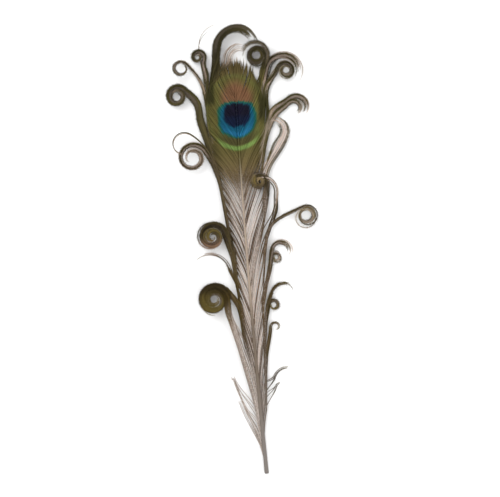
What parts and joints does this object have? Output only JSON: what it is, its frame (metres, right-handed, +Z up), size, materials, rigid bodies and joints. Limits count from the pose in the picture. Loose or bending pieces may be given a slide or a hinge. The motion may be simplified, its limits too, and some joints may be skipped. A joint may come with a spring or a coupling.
{
  "type": "peacock feather",
  "caption": "Decorative peacock eye feather, lying face up, with loose barbs rolled into curls along both sides of a tapering shaft.",
  "frame": {"origin": "centre of the box's base, on the surface that the feather lies on", "axes": "+Y along the shaft from the quill's cut end to the crown above the eye, +Z up, out of the feather's face, +X to the right of the feather as it is seen from above with its crown at the top"},
  "size_m": [0.087, 0.2802, 0.0162],
  "materials": {
    "quill": "keratin, satin, pale horn brown",
    "barbs": "fine soft barbs, olive brown, with a faint metallic sheen at the eye"
  },
  "bodies": {
    "root": {"shaft": "quill", "left_vane": "barbs", "right_vane": "barbs"}
  },
  "joints": []
}
